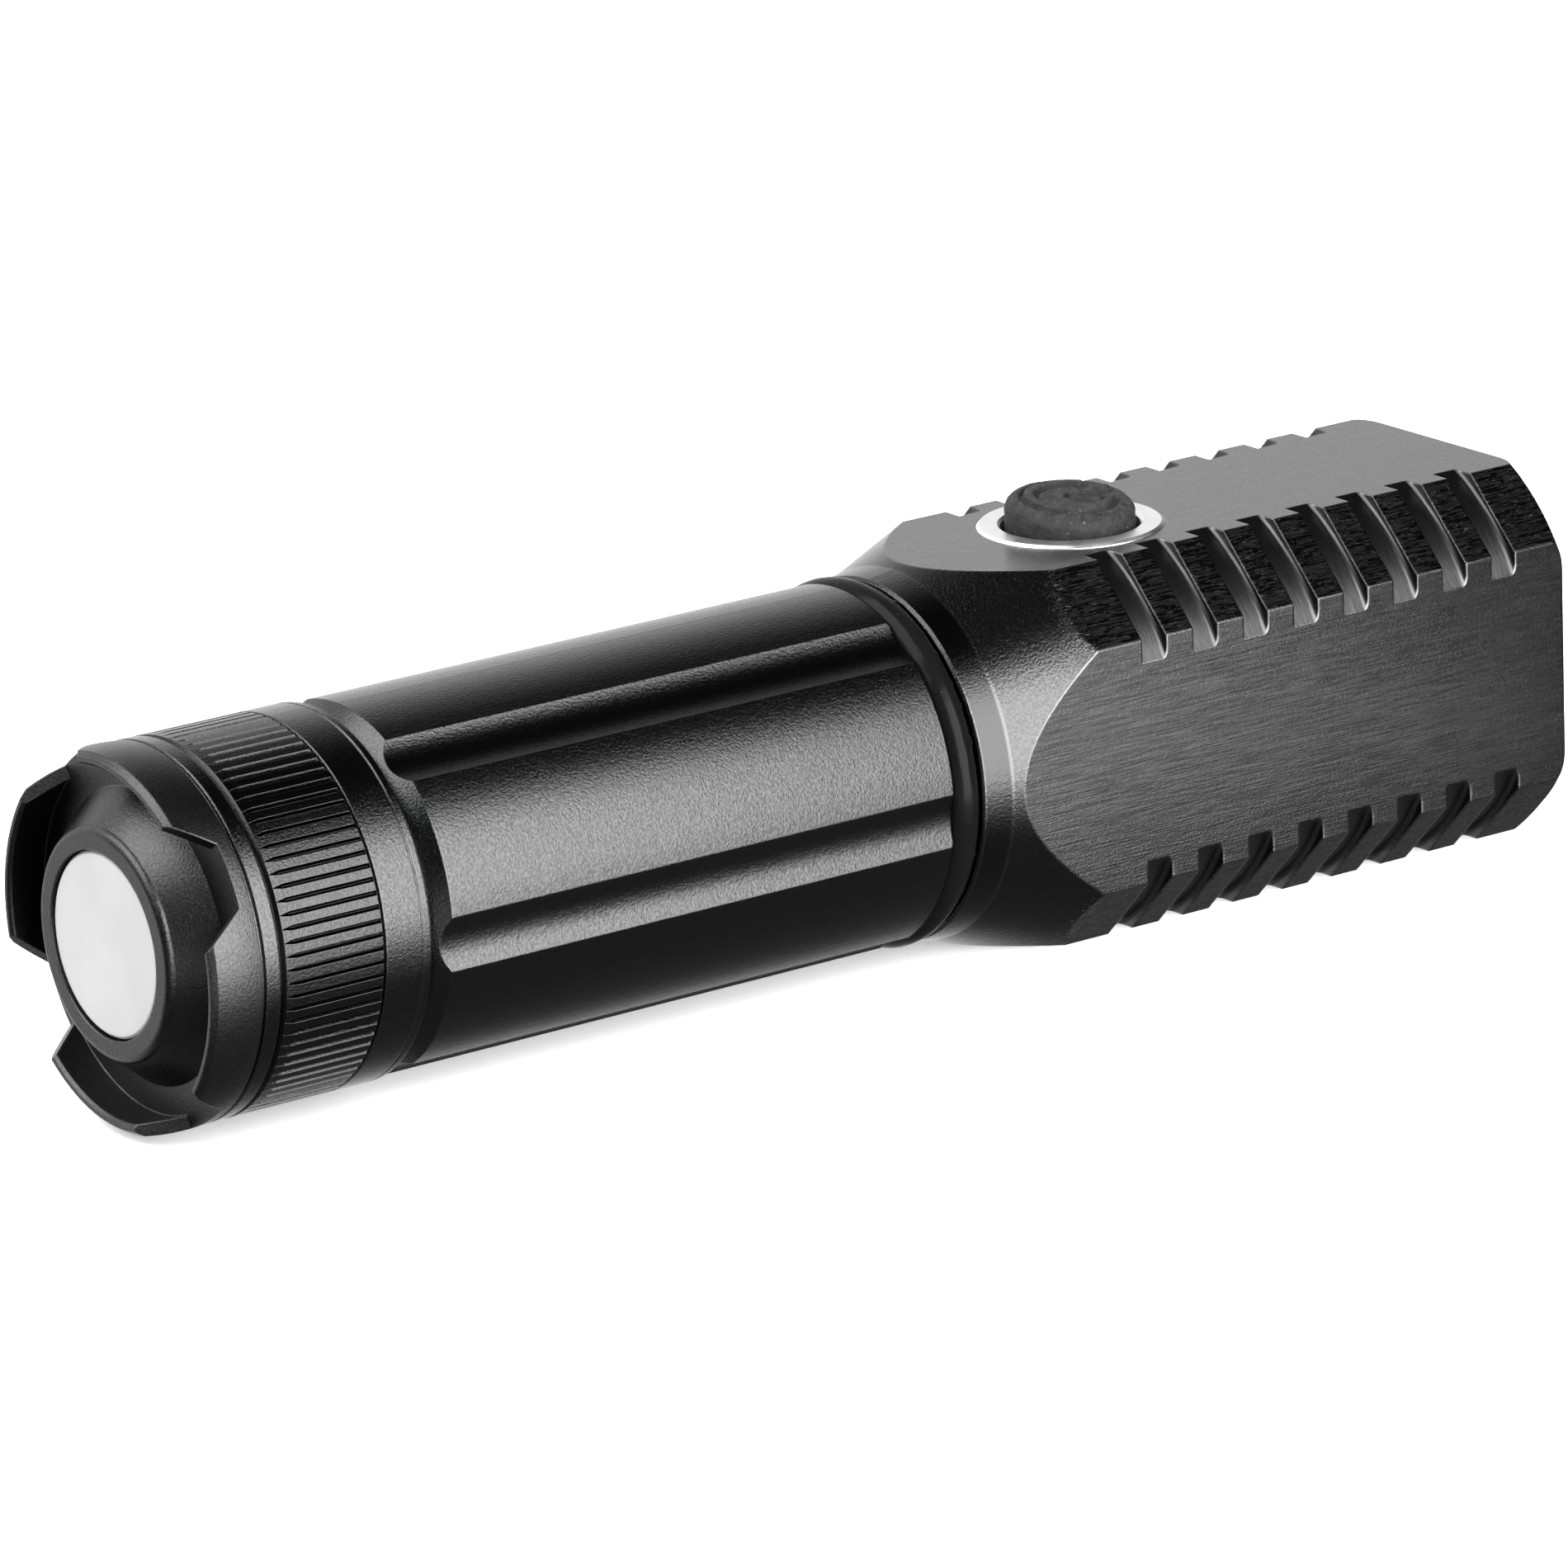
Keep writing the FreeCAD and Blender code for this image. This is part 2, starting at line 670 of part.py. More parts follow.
def bezel_ring():
    """Threaded ring that holds the lens, with a bevelled inner edge."""
    face = LENGTH - BEZEL_INSET
    start = REFLECTOR_END + LENS_LENGTH + 2 * LENS_SEAL_WIRE
    return turned(
        (start, BEZEL_IN_R),
        (start, BEZEL_R),
        (face, BEZEL_R),
        (face, BEZEL_IN_R + BEZEL_BEVEL),
        (face - BEZEL_BEVEL, BEZEL_IN_R),
    )


def lens():
    end = REFLECTOR_END + LENS_LENGTH
    return turned(
        (REFLECTOR_END, 0),
        (REFLECTOR_END, LENS_R - LENS_EDGE),
        (REFLECTOR_END + LENS_EDGE, LENS_R),
        (end - LENS_EDGE, LENS_R),
        (end, LENS_R - LENS_EDGE),
        (end, 0),
    )


def lens_oring():
    return seal(REFLECTOR_END + LENS_LENGTH + LENS_SEAL_WIRE, LENS_SEAL_R, LENS_SEAL_WIRE)


# ---- light engine ----
def heat_spreader():
    end = OPTIC_START + SPREADER_LENGTH
    disc = rod(OPTIC_START, end, SPREADER_R)
    return disc.cut(lead_holes(OPTIC_START - OVER, end + OVER))


def led_board():
    start = OPTIC_START + SPREADER_LENGTH
    disc = rod(start, start + LED_BOARD, LED_BOARD_R)
    return disc.cut(lead_holes(start - OVER, start + LED_BOARD + OVER))


def led_emitter():
    start = OPTIC_START + SPREADER_LENGTH + LED_BOARD
    return block(start, start + LED_HEIGHT, LED_SIZE, LED_SIZE)


def led_dome():
    start = OPTIC_START + SPREADER_LENGTH + LED_BOARD + LED_HEIGHT
    ball = Part.makeSphere(LED_DOME_R, Vector(start, 0, 0))
    return ball.common(rod(start, start + REACH, REACH))


def centring_ring():
    """Insulating ring round the LED that centres the reflector."""
    start = OPTIC_START + SPREADER_LENGTH + LED_BOARD
    ring = tube(start, start + CENTRING_LENGTH, REFLECTOR_NECK_R - LED_ROOM, CENTRING_R)
    opening = LED_SIZE + LED_ROOM
    return ring.cut(block(start, start + LED_HEIGHT + LED_ROOM, opening, opening))


def reflector():
    """Thin parabolic bowl with a front flange."""
    start = OPTIC_START + SPREADER_LENGTH + LED_BOARD + CENTRING_LENGTH
    depth = REFLECTOR_END - start
    bulge_s = start + REFLECTOR_BULGE_S * depth
    bulge_r = REFLECTOR_NECK_R + REFLECTOR_BULGE_R * (REFLECTOR_MOUTH_R - REFLECTOR_NECK_R)
    back_r = REFLECTOR_NECK_R + REFLECTOR_WALL
    return turned(
        (start, REFLECTOR_NECK_R),
        ((bulge_s, bulge_r), (REFLECTOR_END, REFLECTOR_MOUTH_R)),
        (REFLECTOR_END, REFLECTOR_R),
        (REFLECTOR_END - REFLECTOR_FLANGE, REFLECTOR_R),
        ((bulge_s, bulge_r + REFLECTOR_FLANGE * REFLECTOR_WALL), (start, back_r)),
    )


def led_wire(side):
    """Straight insulated lead with a solder bead on the LED board."""
    bead_s = OPTIC_START + SPREADER_LENGTH + LED_BOARD
    wire = turned(
        (DRIVER_SEAT, 0),
        (DRIVER_SEAT, LEAD_R),
        (bead_s, LEAD_R),
        (bead_s, SOLDER_R),
        (bead_s + SOLDER_LENGTH / 2, WIRE_HOLE_R),
        (bead_s + SOLDER_LENGTH, LEAD_R),
        (bead_s + SOLDER_LENGTH, 0),
    )
    wire.translate(Vector(0, side * WIRE_Y, WIRE_Z))
    return wire


def led_wire_positive():
    return led_wire(-1)


def led_wire_negative():
    return led_wire(1)


# ---- driver ----
def driver_board():
    return rod(DRIVER_SEAT - DRIVER_BOARD, DRIVER_SEAT, DRIVER_BORE_R - DRIVER_BOARD_PLAY)


def driver_components():
    """Components on the board's front side."""
    return Part.makeCompound([
        block(DRIVER_SEAT, DRIVER_SEAT + height, width, length, y, z)
        for height, width, length, y, z in DRIVER_COMPONENTS
    ])


def driver_spring():
    """Contact spring for the cell's positive cap."""
    start = CELL_START + CELL_LENGTH + CONTACT_GAP
    end = DRIVER_SEAT - DRIVER_BOARD
    return coil(start, end, DRIVER_SPRING_R, DRIVER_SPRING_WIRE, DRIVER_SPRING_TURNS)


def driver_retainer():
    end = DRIVER_SEAT - DRIVER_BOARD
    outer = DRIVER_BORE_R - DRIVER_BOARD_PLAY / 2
    return tube(HEAD_THREAD_END, end, DRIVER_RETAINER_IN_R, outer)


# ---- side switch ----
def switch_ring():
    """Bright ring pressed into the flat, bevelled outside and inside."""
    return upright(
        (RING_IN_R, RING_SEAT),
        (RING_R, RING_SEAT),
        (RING_R, RING_TOP - RING_BEVEL),
        (RING_R - RING_BEVEL, RING_TOP),
        (RING_IN_R + RING_BEVEL, RING_TOP),
        (RING_IN_R, RING_TOP - RING_BEVEL),
    )


def switch_boot():
    """Hollow rubber button with a flange below the ring and a sloping top."""
    over_top = BOOT_TOP + BOOT_R
    boot = upright(
        (BOOT_R - BOOT_WALL, FLANGE_BOTTOM),
        (FLANGE_R, FLANGE_BOTTOM),
        (FLANGE_R, FLANGE_TOP),
        (BOOT_R, FLANGE_TOP),
        (BOOT_R, over_top),
        (0, over_top),
        (0, BOOT_TOP - BOOT_ROOF),
        (BOOT_R - BOOT_WALL, BOOT_TOP - BOOT_ROOF),
    )
    above = post(BOOT_TOP, BOOT_TOP + REACH, REACH)
    middle = Vector(SWITCH_S, 0, BOOT_TOP)
    above.rotate(middle, AXIS, BOOT_SLOPE)
    boot = boot.cut(above)
    rim = [edge for edge in boot.Edges if edge.BoundBox.ZMax > BOOT_TOP]
    return boot.makeFillet(BOOT_EDGE, rim)


def stem_top():
    return POCKET_FLOOR + SWITCH_BOARD + TACT_HEIGHT + STEM_RISE


def switch_plunger():
    """Stiff puck inside the button that presses the switch's stem."""
    return upright(
        (0, stem_top()),
        (PLUNGER_FOOT_R, stem_top()),
        (PLUNGER_FOOT_R, FLANGE_TOP),
        (BOOT_R - BOOT_WALL, FLANGE_TOP),
        (BOOT_R - BOOT_WALL, BOOT_TOP - BOOT_ROOF),
        (0, BOOT_TOP - BOOT_ROOF),
    )


def tact_stem():
    return post(stem_top() - STEM_RISE - STEM_DEPTH + STEM_TRAVEL_ROOM, stem_top(), STEM_R)


def tact_switch():
    bottom = POCKET_FLOOR + SWITCH_BOARD
    top = bottom + TACT_HEIGHT
    half = TACT_SIZE / 2
    body = Part.makeBox(TACT_SIZE, TACT_SIZE, TACT_HEIGHT, Vector(SWITCH_S - half, -half, bottom))
    return body.cut(post(top - STEM_DEPTH, top + OVER, STEM_R + STEM_FIT))


def switch_board():
    return post(POCKET_FLOOR, POCKET_FLOOR + SWITCH_BOARD, SWITCH_BOARD_R)


def switch_wires():
    """Two thin leads from the switch board down and back to the driver board."""
    leads = []
    for y in (-SWITCH_WIRE_Y, SWITCH_WIRE_Y):
        points = [
            (DRIVER_SEAT, y, SWITCH_WIRE_Z),
            (SWITCH_WIRE_S, y, SWITCH_WIRE_Z),
            (SWITCH_WIRE_S, y, POCKET_FLOOR),
        ]
        leads.append(lead(points, SWITCH_WIRE_R, OVER))
    return Part.makeCompound(leads)


PARTS = {
    "tail_cap": tail_cap,
    "tail_magnet": tail_magnet,
    "contact_retainer": contact_retainer,
    "tail_contact_board": tail_contact_board,
    "tail_spring": tail_spring,
    "battery_tube": battery_tube,
    "tail_oring": tail_oring,
    "front_oring": front_oring,
    "battery_can": battery_can,
    "battery_sleeve": battery_sleeve,
    "battery_insulator": battery_insulator,
    "battery_positive_cap": battery_positive_cap,
    "head_shell": head_shell,
    "bezel_ring": bezel_ring,
    "lens": lens,
    "lens_oring": lens_oring,
    "heat_spreader": heat_spreader,
    "led_board": led_board,
    "led_emitter": led_emitter,
    "led_dome": led_dome,
    "centring_ring": centring_ring,
    "reflector": reflector,
    "led_wire_positive": led_wire_positive,
    "led_wire_negative": led_wire_negative,
    "driver_board": driver_board,
    "driver_components": driver_components,
    "driver_spring": driver_spring,
    "driver_retainer": driver_retainer,
    "switch_ring": switch_ring,
    "switch_boot": switch_boot,
    "switch_plunger": switch_plunger,
    "tact_stem": tact_stem,
    "tact_switch": tact_switch,
    "switch_board": switch_board,
    "switch_wires": switch_wires,
}


def main():
    os.makedirs("parts", exist_ok=True)
    set_down = Vector(-LENGTH / 2, 0, HEAD_HALF)
    for node, make in PARTS.items():
        shape = make()
        shape.translate(set_down)
        if not shape.isValid() or not all(solid.isClosed() for solid in shape.Solids):
            raise ValueError(node + " is not a valid closed solid")
        print(node, len(shape.Solids), round(shape.Volume, 1))
        shape.exportStep(os.path.join("parts", node + ".step"))


main()
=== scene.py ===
import math
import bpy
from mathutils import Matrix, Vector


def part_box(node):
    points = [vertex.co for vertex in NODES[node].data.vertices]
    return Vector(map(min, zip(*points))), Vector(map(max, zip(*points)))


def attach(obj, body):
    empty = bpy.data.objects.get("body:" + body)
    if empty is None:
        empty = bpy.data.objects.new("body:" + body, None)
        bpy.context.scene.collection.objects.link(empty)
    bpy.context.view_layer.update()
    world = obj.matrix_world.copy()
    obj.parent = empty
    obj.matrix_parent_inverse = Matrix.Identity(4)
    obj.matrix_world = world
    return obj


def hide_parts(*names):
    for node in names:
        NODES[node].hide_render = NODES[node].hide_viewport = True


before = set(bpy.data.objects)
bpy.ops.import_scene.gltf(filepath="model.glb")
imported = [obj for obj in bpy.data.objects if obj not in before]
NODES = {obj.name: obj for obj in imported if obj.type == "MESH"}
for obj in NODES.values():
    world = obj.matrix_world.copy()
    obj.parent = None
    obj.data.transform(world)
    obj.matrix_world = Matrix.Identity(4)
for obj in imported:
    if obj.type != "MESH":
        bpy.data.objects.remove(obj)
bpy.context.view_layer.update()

from types import SimpleNamespace

import bpy
from mathutils import Matrix, Vector, noise

MM = 0.001

# ---- places read from the frame ----
TUBE_LOW, TUBE_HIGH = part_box("battery_tube")
BOOT_LOW, BOOT_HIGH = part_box("switch_boot")
SEAL_LOW, SEAL_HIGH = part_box("front_oring")
HEAD_LOW, HEAD_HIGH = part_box("head_shell")
CAP_LOW, CAP_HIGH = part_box("tail_cap")

AXIS_Z = (TUBE_LOW.z + TUBE_HIGH.z) / 2
HEAD_HALF = (HEAD_HIGH.y - HEAD_LOW.y) / 2
CAP_RADIUS = (CAP_HIGH.y - CAP_LOW.y) / 2
SWITCH_X = (BOOT_LOW.x + BOOT_HIGH.x) / 2

CROWN_END_X = CAP_LOW.x + 4.6 * MM
KNURL_START_X = CAP_LOW.x + 6.5 * MM
KNURL_END_X = CAP_LOW.x + 16.0 * MM
COLLAR_LINE_X = HEAD_LOW.x + 2.65 * MM
CONE_END_X = HEAD_LOW.x + 11.35 * MM
CORNER_PLANE = 18.385 * MM      # from the tube's axis to the head's corner chamfers

# ---- camera ----
CAMERA_AZIMUTH = -35.28         # degrees, like the next two
CAMERA_ELEVATION = 16.62
CAMERA_ROLL = -2.19
CAMERA_LENS = 231.25            # millimetres, like the sensor
CAMERA_SENSOR = 36
CAMERA_DISTANCE = 0.80985       # metres, like the rest
CAMERA_AIM = Vector((-0.00175, 0, AXIS_Z))
CAMERA_OFFSET = (-0.00012, -0.00029)    # to the right and up

# ---- room: brightness of the world, where it fades, and the floor ----
ROOM_GLOW = 0.03
TABLE_GLOW = 0.16
TABLE_FADE = (-0.5, 0.0)        # Z of the direction
BACKDROP_GLOW = 1.3
BACKDROP_FADE = (0.3, 0.95)     # Y of the direction
FLOOR_HALF = 1.4
FLOOR_DROP = 0.02 * MM
FLOOR_GLOW = 0.4

# ---- noises of the materials, in cells per metre (along X, Y and Z where there are three) ----
GRAIN = 4600
FINE_GRAIN = 9000
LATHE_LINES = (9000, 700, 700)
BRUSHED = (250, 11000, 11000)
SCRATCHES = (60, 7000, 7000)
STROKES = (420, 6000, 6000)
FLECKS = (1300, 7000, 7000)
TURNED = (12000, 400, 400)
TOOL_MARKS = (1500, 6000, 6000)
RING_LINES = 14000.0
BOARD_TRACKS = 700.0

# ---- linear tones of the metal and the rubber ----
BLASTED_TONE = 0.052
WEAR_AND_HIGHLIGHT_TONE = 0.24                # on the edges: partly wear, partly painted highlight
KNURL_SHADE_TONE = 0.01                # painted shade between the ribs of the knurl
CONE_TONES = (0.046, 0.064)
# painted shade: the collar darker than the cone
COLLAR_SHADE_TONE = 0.04
STEP_HIGHLIGHT_TONE = 0.12                # painted highlight on the line between the collar and the cone
FLAT_TONES = (0.05, 0.088)
FLAT_GRAIN_TONE = 0.12
SCRATCH_TONE = 0.1
TOP_SHEEN_TONE = 0.14                 # painted sheen on the top and bottom flats
CORNER_TONES = (0.003, 0.022)
FLECK_TONE = 0.24
GROOVE_TONES = (0.054, 0.086)
HEAD_WEAR_AND_HIGHLIGHT_TONE = 0.32              # on the head's edges: partly wear, partly painted highlight
RING_TONES = (0.78, 0.95)
SPOT_TONE = 0.6
MAGNET_TONES = (0.275, 0.245)
RUBBER_TONE = 0.013
DUST_TONE = 0.3
SEAL_TONE = 0.003
CRUMB_TONE = 0.16

# ---- depths of the bumps, and radii of the rounded edges ----
ANODISE_DEPTH = 0.05 * MM
ANODISE_BUMP = 0.6
POLISHED_DEPTH = 0.004 * MM
RUBBER_DEPTH = 0.08 * MM
SEAL_DEPTH = 0.02 * MM
PLASTIC_DEPTH = 0.006 * MM
BOARD_DEPTH = 0.01 * MM
TUBE_EDGE = 0.16 * MM
CAP_EDGE = 0.2 * MM
KNURL_EDGE = 0.05 * MM
HEAD_EDGE = 0.26 * MM
RING_EDGE = 0.08 * MM
MAGNET_EDGE = 0.25 * MM


# ---- node graphs ----
class Graph:
    """A node tree, with short ways to add nodes."""

    def __init__(self, tree):
        self.tree = tree

    def add(self, kind, **settings):
        node = self.tree.nodes.new(kind)
        for key, value in settings.items():
            setattr(node, key, value)
        return node

    def feed(self, socket, value):
        """Sets a socket to a constant, or links another socket to it."""
        if isinstance(value, bpy.types.NodeSocket):
            self.tree.links.new(value, socket)
        else:
            socket.default_value = value

    def math(self, operation, a, b=0.0):
        node = self.add("ShaderNodeMath", operation=operation)
        self.feed(node.inputs[0], a)
        self.feed(node.inputs[1], b)
        return node.outputs[0]

    def plus(self, a, b):
        return self.math("ADD", a, b)

    def minus(self, a, b):
        return self.math("SUBTRACT", a, b)

    def times(self, a, b):
        return self.math("MULTIPLY", a, b)

    def absolute(self, a):
        return self.math("ABSOLUTE", a)

    def radius(self, a, b):
        """Distance from the origin in the plane of a and b."""
        return self.math("SQRT", self.plus(self.times(a, a), self.times(b, b)))

    def parts(self, vector):
        node = self.add("ShaderNodeSeparateXYZ")
        self.feed(node.inputs[0], vector)
        return node.outputs

    def ramp(self, value, low, high, to_low=0.0, to_high=1.0):
        """Maps low..high to to_low..to_high, clamped and smoothed."""
        node = self.add("ShaderNodeMapRange", interpolation_type="SMOOTHSTEP")
        for index, number in enumerate((value, low, high, to_low, to_high)):
            self.feed(node.inputs[index], number)
        return node.outputs[0]

    def fall(self, value, low, high):
        """1 below low and 0 above high, smoothed between."""
        return self.ramp(value, low, high, 1.0, 0.0)

    def mix(self, factor, a, b):
        """Mix of two colours; sockets 6 and 7 are the node's colours A and B."""
        node = self.add("ShaderNodeMix", data_type="RGBA")
        self.feed(node.inputs[0], factor)
        self.feed(node.inputs[6], grey(a))
        self.feed(node.inputs[7], grey(b))
        return node.outputs[2]

    def shades(self, value, tones, low=0.3, high=0.7):
        """Mix of two tones. Most of a noise lies between the default low and high."""
        return self.mix(self.ramp(value, low, high), *tones)

    def overlay(self, colour, tone, noise, low, high, strength):
        """Lays a tone over a colour where the noise is above low, most from high on."""
        return self.mix(self.ramp(noise, low, high, 0.0, strength), colour, tone)


class Surface(Graph):
    """The node tree of a new material with one Principled shader."""

    def __init__(self, name):
        self.material = bpy.data.materials.new(name)
        self.material.use_nodes = True
        super().__init__(self.material.node_tree)
        self.tree.nodes.clear()
        output = self.add("ShaderNodeOutputMaterial")
        self.shader = self.add("ShaderNodeBsdfPrincipled")
        self.feed(output.inputs["Surface"], self.shader.outputs["BSDF"])

    def set(self, **inputs):
        """Sets the shader's inputs; an underscore in a name stands for a space."""
        for key, value in inputs.items():
            self.feed(self.shader.inputs[key.replace("_", " ")], value)
        return self.material

    def place(self, scale=(1, 1, 1)):
        """Object coordinates, stretched by scale."""
        node = self.add("ShaderNodeVectorMath", operation="MULTIPLY")
        self.feed(node.inputs[0], self.add("ShaderNodeTexCoord").outputs["Object"])
        self.feed(node.inputs[1], scale)
        return node.outputs[0]

    def noise(self, scale, detail=2.0, roughness=0.5, stretch=(1, 1, 1)):
        node = self.add("ShaderNodeTexNoise")
        self.feed(node.inputs["Vector"], self.place(stretch))
        self.feed(node.inputs["Scale"], scale)
        self.feed(node.inputs["Detail"], detail)
        self.feed(node.inputs["Roughness"], roughness)
        return node.outputs["Fac"]

    def streaks(self, stretch, detail=2.0, roughness=0.5):
        """Noise with its own number of cells per metre along X, Y and Z."""
        return self.noise(1.0, detail, roughness, stretch)

    def bump(self, height, distance, strength, normal=None):
        node = self.add("ShaderNodeBump")
        self.feed(node.inputs["Strength"], strength)
        self.feed(node.inputs["Distance"], distance)
        self.feed(node.inputs["Height"], height)
        if normal:
            self.feed(node.inputs["Normal"], normal)
        return node.outputs[0]

    def rounded(self, radius):
        """Normal of the surface with its edges rounded."""
        bevel = self.add("ShaderNodeBevel", samples=6)
        self.feed(bevel.inputs["Radius"], radius)
        return bevel.outputs[0]

    def edges(self, rounded):
        """Mask that is 1 on the edges, where the rounded normal leaves the plain one."""
        dot = self.add("ShaderNodeVectorMath", operation="DOT_PRODUCT")
        self.feed(dot.inputs[0], rounded)
        self.feed(dot.inputs[1], self.add("ShaderNodeNewGeometry").outputs["Normal"])
        return self.ramp(dot.outputs["Value"], 0.995, 0.9)


def grey(value):
    return (value, value, value, 1.0) if isinstance(value, float) else value


# ---- materials of the anodised aluminium ----
def cap_zones(g):
    """Edge radius, added roughness and painted shade between the knurl's ribs along the tail
    cap.
    """
    x, y, z = g.parts(g.place())
    knurl = g.times(g.ramp(x, KNURL_START_X - 0.1 * MM, KNURL_START_X),
                    g.fall(x, KNURL_END_X, KNURL_END_X + 0.1 * MM))
    edge_radius = g.ramp(knurl, 0.0, 1.0, CAP_EDGE, KNURL_EDGE)
    dull = g.ramp(x, CROWN_END_X, CROWN_END_X + 0.4 * MM, 0.13, 0.0)
    from_axis = g.radius(y, g.minus(z, AXIS_Z))
    # painted shade, strongest deep between the knurl's ribs
    sunk = g.ramp(from_axis, CAP_RADIUS - 0.2 * MM, CAP_RADIUS - 0.02 * MM, 0.65, 0.0)
    return edge_radius, dull, g.times(knurl, sunk)


def blasted_anodise(name, cap=False):
    """Bead-blasted black anodised aluminium, with brighter edges: partly wear, partly painted
    highlight.

    On the tail cap the crown is duller, and the ribs keep sharp edges with painted shade in the
    gaps between them.
    """
    g = Surface(name)
    grain = g.noise(GRAIN, roughness=0.6)
    fine = g.noise(FINE_GRAIN, roughness=0.6)
    lines = g.streaks(LATHE_LINES, roughness=0.6)
    wear_and_highlight_noise = g.noise(300, detail=4.0, roughness=0.65)
    edge_radius, dull, shade = cap_zones(g) if cap else (TUBE_EDGE, 0.0, None)
    smooth = g.rounded(edge_radius)

    colour = g.shades(grain, (BLASTED_TONE * 0.84, BLASTED_TONE * 1.16))
    # brighter edges: partly wear, partly painted highlight
    wear_and_highlight = g.times(g.edges(smooth), g.ramp(wear_and_highlight_noise, 0.3, 0.6, 0.05, 0.3))
    colour = g.mix(wear_and_highlight, colour, WEAR_AND_HIGHLIGHT_TONE)
    # painted shade between the ribs of the knurl
    if shade:
        colour = g.mix(shade, colour, KNURL_SHADE_TONE)
    height = g.plus(g.plus(grain, g.times(fine, 0.6)), g.times(lines, 0.1))
    return g.set(Base_Color=colour, Metallic=1.0,
                 Roughness=g.plus(g.ramp(fine, 0.2, 0.8, 0.17, 0.23), dull),
                 Normal=g.bump(height, ANODISE_DEPTH, ANODISE_BUMP, smooth))


def head_zones(g, strokes):
    """Masks of the head's zones; the strokes make the corners' borders ragged."""
    x, y, z = g.parts(g.place())
    side = g.absolute(y)
    rise = g.absolute(g.minus(z, AXIS_Z))
    across = g.times(g.plus(side, rise), math.sqrt(0.5))
    ragged = g.plus(across, g.ramp(strokes, 0.35, 0.7, -0.3 * MM, 0.3 * MM))
    past_cone = g.ramp(x, CONE_END_X - 3.0 * MM, CONE_END_X - 2.0 * MM)
    low, high = HEAD_HALF - 0.05 * MM, HEAD_HALF - 0.02 * MM
    return SimpleNamespace(
        flat=g.ramp(g.math("MAXIMUM", side, rise), low, high),
        top=g.ramp(rise, low, high, 0.0, 0.12),
        corner=g.times(g.ramp(ragged, CORNER_PLANE - 0.14 * MM, CORNER_PLANE - 0.06 * MM),
                       past_cone),
        on_corner=g.ramp(across, CORNER_PLANE - 0.05 * MM, CORNER_PLANE - 0.02 * MM),
        cone=g.fall(x, CONE_END_X - 0.2 * MM, CONE_END_X + 0.4 * MM),
        collar=g.fall(x, COLLAR_LINE_X - 0.1 * MM, COLLAR_LINE_X + 0.1 * MM),
        step=g.fall(g.absolute(g.minus(x, COLLAR_LINE_X)), 0.05 * MM, 0.22 * MM))


def head_finish(name):
    """Blasted cone with painted shade on the collar and a painted highlight on its step, brushed
    flats with painted sheen on the top and bottom, coarsely brushed corners and turned grooves,
    bright edges that are partly wear and partly painted highlight.
    """
    g = Surface(name)
    grain = g.noise(GRAIN, roughness=0.6)
    fine = g.noise(FINE_GRAIN, roughness=0.6)
    brushed = g.streaks(BRUSHED, detail=3.0, roughness=0.6)
    scratches = g.streaks(SCRATCHES)
    strokes = g.streaks(STROKES, detail=3.0, roughness=0.72)
    flecks = g.streaks(FLECKS, roughness=0.6)
    turned = g.streaks(TURNED, roughness=0.6)
    wear_and_highlight_noise = g.noise(420, detail=3.0, roughness=0.65)
    zone = head_zones(g, strokes)
    smooth = g.rounded(HEAD_EDGE)

    # painted shade on the collar
    cone = g.mix(zone.collar, g.shades(grain, CONE_TONES), COLLAR_SHADE_TONE)
    # painted highlight along the step between the collar and the cone
    cone = g.mix(g.times(zone.step, 0.4), cone, STEP_HIGHLIGHT_TONE)
    flat = g.shades(brushed, FLAT_TONES, 0.34, 0.66)
    flat = g.overlay(flat, FLAT_GRAIN_TONE, grain, 0.5, 0.75, strength=0.3)
    flat = g.overlay(flat, SCRATCH_TONE, scratches, 0.6, 0.74, strength=0.4)
    # painted sheen on the top and bottom flats
    flat = g.mix(zone.top, flat, TOP_SHEEN_TONE)
    corner = g.shades(strokes, CORNER_TONES, 0.42, 0.62)
    corner = g.overlay(corner, FLECK_TONE, flecks, 0.59, 0.7, strength=0.8)
    colour = g.mix(zone.cone, g.shades(turned, GROOVE_TONES), cone)
    colour = g.mix(zone.flat, g.mix(zone.corner, colour, corner), flat)
    # brighter edges, weaker on the corners: partly wear, partly painted highlight
    bright = g.times(g.edges(smooth), g.ramp(wear_and_highlight_noise, 0.3, 0.6, 0.3, 0.7))
    bright = g.times(bright, g.ramp(zone.on_corner, 0.0, 1.0, 1.0, 0.25))
    colour = g.mix(bright, colour, HEAD_WEAR_AND_HIGHLIGHT_TONE)

    height = g.mix(zone.cone, g.times(turned, 0.5), g.plus(grain, g.times(fine, 0.4)))
    height = g.mix(zone.corner, height, g.times(g.plus(strokes, flecks), 0.3))
    height = g.mix(zone.flat, height, g.times(g.plus(brushed, grain), 0.45))
    roughness = g.mix(zone.flat, g.mix(zone.cone, 0.29, 0.2), 0.21)
    return g.set(Base_Color=colour, Metallic=1.0,
                 Roughness=g.mix(zone.corner, roughness, 0.25),
                 Normal=g.bump(height, ANODISE_DEPTH, ANODISE_BUMP, smooth))


